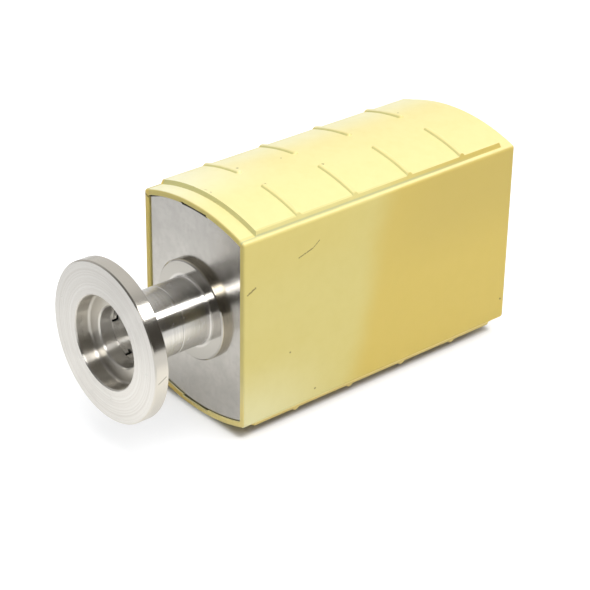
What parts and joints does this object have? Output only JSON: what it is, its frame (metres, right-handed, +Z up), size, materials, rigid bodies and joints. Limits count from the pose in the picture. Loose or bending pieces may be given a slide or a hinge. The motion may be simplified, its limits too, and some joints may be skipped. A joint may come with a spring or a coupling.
{
  "type": "pirani vacuum gauge",
  "caption": "Compact vacuum gauge with a small-flange port on a turned tube, a stainless front plate, an arched moulded sleeve with ribbed panels and a rear pin socket.",
  "frame": {"origin": "centre of the vacuum port's sealing face", "axes": "+Y along the port's axis back through the gauge, +Z up to the arched top, +X to the right seen from the port"},
  "size_m": [0.03, 0.0865, 0.044],
  "materials": {
    "turned_stainless": "fine turned",
    "plate_stainless": "satin",
    "sheet_stainless": "rolled",
    "zinc_hardware": "plated",
    "hot_wire": "drawn",
    "gilt_pins": "gilt",
    "brass_screw": "bright",
    "seal_glass": "fused",
    "sleeve_plastic": "satin moulded",
    "socket_plastic": "moulded",
    "seal_rubber": "matt",
    "circuit_board": "lacquered",
    "chip_black": "moulded",
    "resistor_enamel": "enamelled",
    "capacitor_can": "sleeved",
    "trimmer_blue": "moulded"
  },
  "bodies": {
    "root": {"sensor_body": "turned_stainless", "port_baffle": "sheet_stainless", "header_disc": "turned_stainless", "glass_seals": "seal_glass", "feedthrough_pins": "gilt_pins", "filament": "hot_wire", "front_plate": "plate_stainless", "carrier": "sheet_stainless", "lock_washer": "zinc_hardware", "sensor_nut": "zinc_hardware", "sensor_board": "circuit_board", "temperature_sensor": "chip_black", "sensor_links": "gilt_pins", "main_board": "circuit_board", "controller_chip": "chip_black", "amplifier_chips": "chip_black", "bridge_resistors": "resistor_enamel", "capacitors": "capacitor_can", "voltage_regulator": "chip_black", "trimmer_body": "trimmer_blue", "trimmer_screw": "brass_screw", "connector_links": "gilt_pins", "connector_board": "circuit_board", "socket_shell": "zinc_hardware", "socket_insert": "socket_plastic", "socket_pins": "gilt_pins", "socket_nut": "zinc_hardware", "socket_gasket": "seal_rubber", "rear_cover": "plate_stainless", "cover_screws": "zinc_hardware", "housing_sleeve": "sleeve_plastic"}
  },
  "joints": []
}
